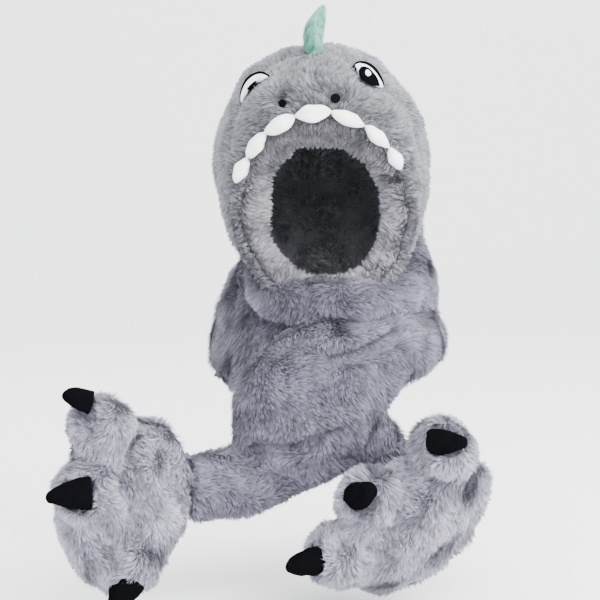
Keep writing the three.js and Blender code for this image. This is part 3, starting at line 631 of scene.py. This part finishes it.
def lens(name, middle, axes, half, number):
    """A stuffed tooth: a puffed lens drawn to a point at both ends, along the first of its axes."""
    rings, sides = 34, 36
    along = np.repeat(np.sin(np.linspace(-math.pi / 2, math.pi / 2, rings)[1:-1]), sides)
    turn = np.tile(np.arange(sides) * 2 * math.pi / sides, rings - 2)
    gather = np.clip((np.abs(along) - 0.4) / 0.6, 0, 1)
    pleats = np.sin(6 * turn + number) + 0.6 * np.sin(10 * turn - 2 * number)
    girth = (1 - np.abs(along) ** 1.9) ** 0.8 * (1 + 0.11 * pleats * gather)
    places = middle + (half[0] * along)[:, None] * axes[0]
    places += (half[1] * girth * np.cos(turn))[:, None] * axes[1]
    places += (half[2] * girth * np.sin(turn))[:, None] * axes[2]
    places = np.concatenate([places, [middle - half[0] * axes[0], middle + half[0] * axes[0]]])
    places += 0.0005 * waves(places, 0.011, 30 + number)[:, None] * unit(places - middle)
    tail, nose, last = len(places) - 2, len(places) - 1, (rings - 3) * sides
    faces = [
        (r * sides + k, r * sides + (k + 1) % sides, (r + 1) * sides + (k + 1) % sides, (r + 1) * sides + k)
        for r in range(rings - 3)
        for k in range(sides)
    ]
    faces += [(tail, (k + 1) % sides, k) for k in range(sides)]
    faces += [(nose, last + k, last + (k + 1) % sides) for k in range(sides)]
    mesh = bpy.data.meshes.new(name)
    mesh.from_pydata([tuple(place) for place in places], [], faces)
    if np.linalg.det(axes) < 0:
        mesh.flip_normals()
    mesh.shade_smooth()
    grey = mesh.attributes.new("gather", "FLOAT", "POINT")
    # Painted shade in the gathers and pleats toward the pinched ends, full at the two points.
    painted_shade = np.clip(gather**2 * (0.8 + 0.5 * pleats), 0, 1)
    grey.data.foreach_set("value", np.concatenate([painted_shade, [1, 1]]))
    tooth = bpy.data.objects.new(name, mesh)
    bpy.context.collection.objects.link(tooth)
    return tooth


tooth_cloth = white_cloth()
teeth = []
for number in range(1, 8):
    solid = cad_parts[f"tooth_{number}"].data
    points = np.array([vertex.co for vertex in solid.vertices])
    axes = np.linalg.svd(points - points.mean(axis=0), full_matrices=False)[2]
    shares = points @ axes.T
    middle = ((shares.min(axis=0) + shares.max(axis=0)) / 2) @ axes
    half = (shares.max(axis=0) - shares.min(axis=0)) / 2
    if teeth and (middle - teeth[-1][0]) @ axes[0] < 0:
        axes[0] *= -1
    if not teeth and (np.array(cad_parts["tooth_2"].data.vertices[0].co) - middle) @ axes[0] < 0:
        axes[0] *= -1
    teeth.append((middle, axes, half))
middle, axes, half = teeth[0]
joints = [middle - half[0] * axes[0]]
for (middle, axes, half), (other, ways, reach) in zip(teeth, teeth[1:]):
    joints.append((middle + half[0] * axes[0] + other - reach[0] * ways[0]) / 2)
middle, axes, half = teeth[-1]
joints.append(middle + half[0] * axes[0])
# How far the joints between the teeth are sewn from their solids, right and down in picture points.
nudges = [(0, -8), (3.5, -6.5), (4, -4.5), (3, -1.5), (0, 2.5), (-4, 4), (-3, 2), (-5, 1.5)]
for i, (shift, drop) in enumerate(nudges):
    seat, out, _, _ = hood_face.find_nearest(Vector(joints[i]))
    stand = (joints[i] - np.array(seat)) @ np.array(out)
    nudged = joints[i] + point_span * (shift * picture_right - drop * picture_up)
    seat, out, _, _ = hood_face.find_nearest(Vector(nudged))
    joints[i] = np.array(seat) + stand * np.array(out)
half_heights = (0.0058, 0.006, 0.0066, 0.007, 0.0058, 0.0052, 0.0052)
half_depth = 0.0056
for number, (middle, _, _) in enumerate(teeth, 1):
    one, other = joints[number - 1], joints[number]
    out = np.array(hood_face.find_nearest(Vector(middle))[1])
    first = (other - one) / np.linalg.norm(other - one)
    third = out - (out @ first) * first
    third /= np.linalg.norm(third)
    axes = np.array([first, np.cross(third, first), third])
    half = np.array([np.linalg.norm(other - one) / 2 * 1.03, half_heights[number - 1], half_depth])
    tooth = lens(f"tooth_{number}_cloth", (one + other) / 2 + 0.0012 * third, axes, half, number)
    tooth.data.materials.append(tooth_cloth)
    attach(tooth, "root")
    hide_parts(f"tooth_{number}")

# Eyes: white felt leaves bound in black along their upper edge, with a black pupil, and a white glint on the
# left one. They are sewn on behind the upper jaw, whose pile covers their lower part.


def felt(name, colour, roughness=0.85):
    """Pressed felt: short fibres lying every way."""
    cloth = Cloth(name, roughness, 0.2 * colour[0])
    cloth.shader.inputs["Specular IOR Level"].default_value = 0.3 * colour[0]
    fibres = cloth.noise(0.0009, 3.0)
    cloth.feed("Base Color", cloth.mix(fibres, tuple(0.82 * c for c in colour), colour))
    cloth.feed("Roughness", roughness - 0.1 * fibres)
    cloth.relief(fibres, 0.5, 0.0004)
    return cloth.material


def rounded(line, shares):
    """Points at the given shares of the way along a line of picture points, with its corners rounded."""
    line = np.array(line, float)
    for _ in range(3):
        first, last = 0.75 * line[:-1] + 0.25 * line[1:], 0.25 * line[:-1] + 0.75 * line[1:]
        inner = np.stack([first, last], axis=1).reshape(-1, 2)
        line = np.concatenate([line[:1], inner, line[-1:]])
    gone = np.concatenate([[0], np.cumsum(np.linalg.norm(np.diff(line, axis=0), axis=1))])
    return np.stack([np.interp(shares * gone[-1], gone, line[:, k]) for k in (0, 1)], axis=1)


def petal(name, upper, lower, base, top, cloth):
    """A domed felt layer on the hood between two lines of picture points that share their ends."""
    columns, rows = 26, 8
    share = np.linspace(0, 1, columns)
    above, below = rounded(upper, share), rounded(lower, share)
    seats, ups = [], []
    for i in range(columns):
        for j in range(rows + 1):
            place = above[i] + (below[i] - above[i]) * j / rows
            seats.append(sighted(*place, hood_face))
            ups.append(np.array(hood_face.find_nearest(seats[-1])[1]))
    out = np.mean(ups, axis=0)
    out /= np.linalg.norm(out)
    seats = np.array(seats)
    across = np.tile(np.linspace(-1, 1, rows + 1), columns)
    along = np.repeat(2 * share - 1, rows + 1)
    dome = np.clip(1 - np.maximum(np.abs(across), np.abs(along)) ** 6, 0, 1)
    heights = base + (top - base) * (0.6 + 0.4 * dome)
    places = np.concatenate([seats + heights[:, None] * out, seats + base * out])
    half, line = len(seats), rows + 1
    faces = []
    for i in range(columns - 1):
        for j in range(rows):
            a = i * line + j
            faces.append((a, a + 1, a + 1 + line, a + line))
            faces.append((half + a, half + a + line, half + a + 1 + line, half + a + 1))
        for a in (i * line, i * line + rows):
            faces.append((a, a + line, half + a + line, half + a))
    for j in range(rows):
        for a in (j, (columns - 1) * line + j):
            faces.append((a, half + a, half + a + 1, a + 1))
    mesh = bpy.data.meshes.new(name)
    mesh.from_pydata([tuple(p) for p in places], [], faces)
    piece = bpy.data.objects.new(name, mesh)
    bpy.context.collection.objects.link(piece)
    bpy.ops.object.select_all(action="DESELECT")
    piece.select_set(True)
    bpy.context.view_layer.objects.active = piece
    bpy.ops.object.mode_set(mode="EDIT")
    bpy.ops.mesh.select_all(action="SELECT")
    bpy.ops.mesh.remove_doubles(threshold=0.00002)
    bpy.ops.mesh.dissolve_degenerate(threshold=0.00001)
    bpy.ops.mesh.normals_make_consistent(inside=False)
    bpy.ops.object.mode_set(mode="OBJECT")
    bpy.ops.object.shade_smooth()
    piece.data.materials.append(cloth)
    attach(piece, "root")
    return piece


white_felt = felt("white_felt", (0.8, 0.81, 0.83))
black_felt = felt("black_felt", (0.002, 0.002, 0.003), 0.9)
# Each layer of an eye lies between an upper and a lower line of picture points.
eye_lines = {
    "right": {
        "rim": (
            [
                (240.4, 101), (240.6, 91.4), (244.4, 80.6), (250.6, 74.8),
                (258.2, 71.6), (264, 71.6), (269, 75.4),
            ],
            [(240.4, 101), (246, 94), (256, 84), (269, 75.4)],
        ),
        "white": (
            [
                (241.8, 103), (242.8, 94), (246.5, 84.5), (252, 78.3),
                (258.5, 75.2), (263.5, 75.2), (267.8, 76.8),
            ],
            [
                (241.8, 103), (244.4, 96.6), (248.4, 91.4), (254.4, 85),
                (259.4, 82), (263.4, 79.4), (267.8, 76.8),
            ],
        ),
        "pupil": (
            [(249.4, 91.6), (252.6, 87.4), (258.6, 82.9)],
            [(249.4, 91.6), (254.4, 88.8), (258.6, 82.9)],
        ),
    },
    "left": {
        "rim": (
            [(352.8, 66), (356, 61.6), (365, 61.2), (374, 66), (380.3, 74), (384.3, 86)],
            [(352.8, 66), (360, 74), (370, 80), (384.3, 86)],
        ),
        "white": (
            [(354.2, 66.6), (357, 64.4), (364.5, 64.8), (371.5, 69.2), (377.5, 76.5), (382.6, 88)],
            [(354.2, 66.6), (358.5, 73), (361, 78), (368, 81.5), (376, 86), (382.6, 88)],
        ),
        "pupil": (
            [(357.2, 72.5), (359.6, 68.6), (366.6, 69.6), (371.6, 75), (376, 80.4), (378.2, 88.2)],
            [(357.2, 72.5), (358.5, 79.5), (363, 83.5), (370, 87), (378.2, 88.2)],
        ),
        "glint": (
            [(363.2, 75), (365, 73), (368.8, 76.4), (368.4, 79)],
            [(363.2, 75), (363, 77.6), (366, 80.2), (368.4, 79)],
        ),
    },
}
for side, lines in eye_lines.items():
    rim = petal(f"eye_rim_{side}", *lines["rim"], base=-0.001, top=0.0016, cloth=black_felt)
    white = petal(f"eye_white_{side}_felt", *lines["white"], base=-0.0005, top=0.0024, cloth=white_felt)
    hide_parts(f"eye_white_{side}")
    pupil = petal(f"eye_pupil_{side}_felt", *lines["pupil"], base=0.0018, top=0.0034, cloth=black_felt)
    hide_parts(f"eye_pupil_{side}")
    if "glint" in lines:
        glint = petal(f"eye_glint_{side}", *lines["glint"], base=0.0032, top=0.0044, cloth=white_felt)

# Nostrils: small round black beads with a worn polish, each sewn down into a dent in the plush of the upper
# jaw. The right one is drawn in deeper.
into_jaw = np.array([0.0, 1.0, -0.4])
for side, sunk in (("right", 0.005), ("left", 0.0014)):
    nostril, points = refined(f"nostril_{side}", f"nostril_{side}_bead", levels=1)
    points, _ = relaxed(nostril, points, rounds=6)
    points += sunk * into_jaw
    nostril.data.vertices.foreach_set("co", points.ravel())
    nostril.data.update()
    bead = Cloth("nostril_bead", 0.35)
    bead.shader.inputs["Specular IOR Level"].default_value = 0.01
    scuffs = bead.noise(0.002, 4.0)
    bead.feed("Base Color", bead.mix(scuffs, (0.001, 0.001, 0.001), (0.003, 0.003, 0.004)))
    bead.feed("Roughness", 0.25 + 0.25 * scuffs)
    nostril.data.materials.append(bead.material)
    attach(nostril, "root")
    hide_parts(f"nostril_{side}")

# Fins: two small stuffed fins of mint plush along the middle of the crown. Each is two leaves sewn together
# round the edge, with ribs stitched from the root to the edge and painted shade in the grooves between them.
mint = plush_cloth(
    "mint_plush", root=(0.04, 0.16, 0.12), tip=(0.2, 0.56, 0.43), pale=(0.36, 0.72, 0.6), sheen=0.15
)
fin_comb = (0.05, 0.25, 0.95)
fin_pile = {"long": 0.0042, "wide": 0.0006, "lean": 62, "swirl": 16, "tuft": 8, "gather": 0.4}
foot_reach = np.array([0.0, -0.005, -0.004])
for number in (1, 2):
    fin = Plush(f"fin_{number}", cell=0.0016, rounds=8)
    low, high = fin.points.min(axis=0), fin.points.max(axis=0)
    rise = (fin.points[:, 2] - low[2]) / (high[2] - low[2])
    ribs_from = (low[1] + high[1]) / 2 + 0.002
    fan = np.arctan2(fin.points[:, 1] - ribs_from, fin.points[:, 2] - low[2] + 0.012)
    ribs = np.cos(fan * 17)
    # Painted shade in the grooves between the ribs, less toward the top.
    fin.tone -= 0.95 * np.clip(-ribs, 0, 1) ** 2 * (1 - 0.5 * rise)
    fin.points += np.clip(1 - rise / 0.35, 0, 1)[:, None] * foot_reach
    fin.push(0.0008 * ribs * np.clip(np.abs(fin.normals[:, 0]), 0, 1) - 0.0014)
    fin.set_pile(15000, comb=fin_comb, seed=60 + number, **fin_pile)
    fin_plush = fin.finish(mint)
    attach(fin_plush, "root")
    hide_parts(f"fin_{number}")

# Scarf: one long strip of plush doubled back to back, sewn to the hood's lower edge. It turns twice under the
# opening, the second turn wider and lower, and both ends come forward. Its pile lies in soft waves.
chin_bulges = (((360, 309), 0.028, 0.006), ((404, 303), 0.022, 0.005))
# Along these creases and laps the pile takes painted shade, deepest in the gaps under the laps.
chin_crease = [(290, 300), (330, 300), (372, 288)]
shoulder_creases = (
    ([(214, 318), (221, 338), (230, 356)], 0.0015, 0.007, 0.25),
    ([(250, 292), (262, 312), (270, 326)], 0.002, 0.008, 0.2),
)
upper_lap = [(318, 355), (336, 355), (356, 352), (376, 342), (396, 333), (430, 321)]
lower_lap = [(226, 442), (258, 447), (301, 448), (311, 441), (350, 424)]
end_bulge = (434, 335)
end_creases = (([(262, 350), (290, 342), (318, 352)], 0.003), ([(204, 470), (222, 478), (250, 470)], 0.002))
upwards = (0, 0, 1)
scarf_pile = {"long": 0.0064, "comb": (0.45, 0.0, -0.85), "tuft": 8, "gather": 0.45}
scarf_cloth = plush_cloth(
    "scarf_plush", root=(0.014, 0.0135, 0.02), tip=(0.22, 0.215, 0.287), pale=(0.32, 0.312, 0.396), sheen=0.35
)
chin = Plush("scarf_chin_turn", cell=0.0046, rounds=14)
chin.push(0.0025 * waves(chin.points, 0.06, 7))
for place, radius, height in chin_bulges:
    chin.swell(place, radius, height)
chin.fold(chin_crease, deep=0.002, wide=0.008, painted_shade=0.25)
chin.push(np.full(len(chin.points), -0.0032))
chin.set_pile(80000, lean=55, swirl=50, seed=31, **scarf_pile)
chin_plush = chin.finish(scarf_cloth)

shoulder = Plush("scarf_shoulder_turn", cell=0.0048, rounds=14)
shoulder.push(0.0022 * waves(shoulder.points, 0.06, 8))
for path, deep, wide, painted_shade in shoulder_creases:
    shoulder.fold(path, deep, wide, painted_shade=painted_shade)
shoulder.push(np.full(len(shoulder.points), -0.0032))
shoulder.set_pile(84000, lean=55, swirl=30, seed=32, **scarf_pile)
shoulder_plush = shoulder.finish(scarf_cloth)

cross = Plush("scarf_cross_end", cell=0.0042, rounds=12)
cross.push(0.0018 * waves(cross.points, 0.06, 9))
cross.fold(upper_lap, deep=0.005, wide=0.006, over=upwards, lap=0.002, painted_shade=1.0)
cross.fold(lower_lap, deep=0.006, wide=0.006, over=upwards, lap=0.003, painted_shade=1.1)
cross.swell(end_bulge, radius=0.022, height=0.006)
for path, deep in end_creases:
    cross.fold(path, deep, wide=0.008, painted_shade=0.2)
cross.push(np.full(len(cross.points), -0.0034))
cross.set_pile(112000, lean=54, swirl=55, seed=33, **scarf_pile)
cross_plush = cross.finish(scarf_cloth)

under = Plush("scarf_under_end", cell=0.0048, rounds=12)
under.push(0.0015 * waves(under.points, 0.05, 10) - 0.004)
under.set_pile(20000, lean=55, swirl=45, seed=34, **scarf_pile)
under_plush = under.finish(scarf_cloth)

for strip, node in (
    (chin_plush, "scarf_chin_turn"),
    (shoulder_plush, "scarf_shoulder_turn"),
    (cross_plush, "scarf_cross_end"),
    (under_plush, "scarf_under_end"),
):
    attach(strip, "root")
    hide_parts(node)

# Paw mittens: padded bags of paler, deeper plush on the ends of the scarf, each with three stuffed toes drawn
# apart by stitches, and open at the cuff.
paw_cloth = plush_cloth(
    "paw_plush", root=(0.036, 0.034, 0.047), tip=(0.45, 0.432, 0.54), pale=(0.59, 0.575, 0.68), sheen=0.4
)
paw_pile = {"long": 0.007, "lean": 52, "swirl": 60, "tuft": 8, "gather": 0.46}
outwards = (-1, 0, 0)
# Each crease: its picture points, depth, width, the side laid over it, by how much, and how much painted
# shade lies in it.
right_creases = (
    ([(143, 422), (139, 444), (132, 464)], 0.007, 0.0085, None, 0.0, 0.7),
    ([(137, 420), (132, 442), (126, 464)], 0.009, 0.0045, outwards, 0.004, 1.0),
    ([(98, 408), (92, 436), (86, 462)], 0.006, 0.008, None, 0.0, 0.4),
    ([(94, 512), (103, 540), (112, 560), (122, 576)], 0.007, 0.0075, None, 0.0, 0.6),
    ([(116, 466), (123, 494), (131, 510), (140, 516)], 0.005, 0.006, None, 0.0, 0.4),
    ([(153, 488), (144, 514), (130, 542)], 0.005, 0.006, outwards, 0.002, 0.5),
    ([(168, 440), (174, 480), (181, 508)], 0.005, 0.006, None, 0.0, 0.5),
)
left_creases = (
    ([(344, 518), (368, 527), (391, 530), (414, 529), (436, 527)], 0.004, 0.0055, upwards, 0.002, 0.6),
    ([(360, 545), (383, 551), (400, 561)], 0.003, 0.0055, upwards, 0.002, 0.55),
    ([(428, 474), (438, 484), (451, 488), (466, 484)], 0.003, 0.0075, upwards, 0.001, 0.35),
    ([(477, 508), (470, 532), (460, 547), (450, 564), (430, 578)], 0.0055, 0.0065, outwards, 0.003, 0.6),
    ([(410, 438), (416, 446), (424, 466)], 0.005, 0.007, None, 0.0, 0.45),
)
for side, creases, comb, count, swell_seed, pile_seed in (
    ("right", right_creases, (-0.4, 0.1, -0.9), 118000, 12, 41),
    ("left", left_creases, (-0.5, 0.1, -0.8), 120000, 14, 42),
):
    paw = Plush(f"paw_{side}", cell=0.0042, rounds=10)
    paw.push(0.002 * waves(paw.points, 0.05, swell_seed) + 0.0008 * waves(paw.points, 0.02, swell_seed + 1))
    for crease in creases:
        paw.fold(*crease)
    paw.push(np.full(len(paw.points), -0.0034))
    paw.set_pile(count, comb=comb, seed=pile_seed, **paw_pile)
    mitten = paw.finish(paw_cloth)
    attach(mitten, "root")
    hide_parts(f"paw_{side}")

# Claws: stuffed cones of black short-nap cloth, blunt at the tip, each sewn to a toe by its wide end. They
# catch hardly any light.


def claw_cloth():
    """Black brushed cloth with a faint mottled nap."""
    cloth = Cloth("claw_cloth", 0.9, 0.002, (0.75, 0.78, 0.9), 0.3)
    cloth.shader.inputs["Specular IOR Level"].default_value = 0.005
    nap = cloth.noise(0.0012, 4.0)
    cloth.feed("Base Color", cloth.mix(nap, (0.0008, 0.0008, 0.001), (0.003, 0.003, 0.004)))
    cloth.feed("Roughness", 0.95 - 0.15 * nap)
    cloth.relief(nap, 0.6, 0.0005)
    return cloth.material


black_cloth = claw_cloth()
# Each claw: the share that it is shorter by than its solid, its girth as a share of the solid's, and how far
# it is sewn from it, right and down in picture points.
claw_fits = {
    "right": ((0.2, 0.87, -1, -5), (0.04, 0.97, 0, 0), (0.15, 0.95, 0, -5)),
    "left": ((0.18, 0.84, 0, 0), (0.18, 0.93, -2, -5), (0.18, 0.92, -2, 1)),
}
for side, fits in claw_fits.items():
    for number, (blunt, slim, shift, drop) in enumerate(fits, 1):
        claw, points = refined(f"claw_{side}_{number}", f"claw_{side}_{number}_cloth", levels=0)
        points, normals = relaxed(claw, points, rounds=10)
        middle = points.mean(axis=0)
        along = np.linalg.svd(points - middle, full_matrices=False)[2][0]
        share = (points - middle) @ along
        if share.max() < -share.min():
            along, share = -along, -share
        share = (share - share.min()) / (share.max() - share.min())
        reach = (points - middle) @ along
        aside = points - middle - reach[:, None] * along
        points = middle + (reach - blunt * np.ptp(reach) * share**3)[:, None] * along + slim * aside
        points += point_span * (shift * picture_right - drop * picture_up)
        points += normals * (0.0006 * waves(points, 0.012, 70 + number))[:, None]
        claw.data.vertices.foreach_set("co", points.ravel())
        claw.data.update()
        claw.data.materials.append(black_cloth)
        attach(claw, "root")
        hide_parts(f"claw_{side}_{number}")

# Floor and studio: a plain pale sheet of paper that lies flat under the piece and rises behind it in one
# sweep. Three large soft lamps and a pale room light it evenly.
floor_height, flat_to, bend, half_width = -0.436, 2.2, 0.9, 3.5
profile = [(-3.0, floor_height), (flat_to, floor_height)]
for turn in (0.2, 0.45, 0.7, 0.95, 1.2, 1.4):
    profile.append((flat_to + bend * math.sin(turn), floor_height + bend * (1 - math.cos(turn))))
profile += [(flat_to + bend, 0.6), (flat_to + bend, 3.4)]
sweep = bpy.data.meshes.new("floor")
sweep.from_pydata(
    [(x, y, z) for y, z in profile for x in (-half_width, half_width)],
    [],
    [(2 * i, 2 * i + 1, 2 * i + 3, 2 * i + 2) for i in range(len(profile) - 1)],
)
sweep.shade_smooth()
floor = bpy.data.objects.new("floor", sweep)
bpy.context.collection.objects.link(floor)
paper = Cloth("floor_paper", 0.9)
paper.feed("Base Color", paper.mix(paper.noise(0.4, 1.0), (0.93, 0.93, 0.93), (0.96, 0.96, 0.96)))
sweep.materials.append(paper.material)

lit_place = Vector((0, -0.05, -0.2))
for name, place, size, power in (
    ("lamp_front", (0.3, -2.3, 1.2), 1.6, 88),
    ("lamp_side", (1.6, -1.2, 0.7), 1.4, 105),
    ("lamp_top", (0.1, 0.5, 1.9), 1.6, 50),
):
    bpy.ops.object.light_add(type="AREA", location=place)
    lamp = bpy.context.object
    lamp.name = name
    lamp.data.size = size
    lamp.data.energy = power
    lamp.rotation_euler = (lit_place - Vector(place)).to_track_quat("-Z", "Y").to_euler()

world = bpy.data.worlds.new("studio")
bpy.context.scene.world = world
world.use_nodes = True
room_light = world.node_tree.nodes["Background"].inputs
room_light["Color"].default_value = (0.95, 0.97, 1, 1)
room_light["Strength"].default_value = 2.55
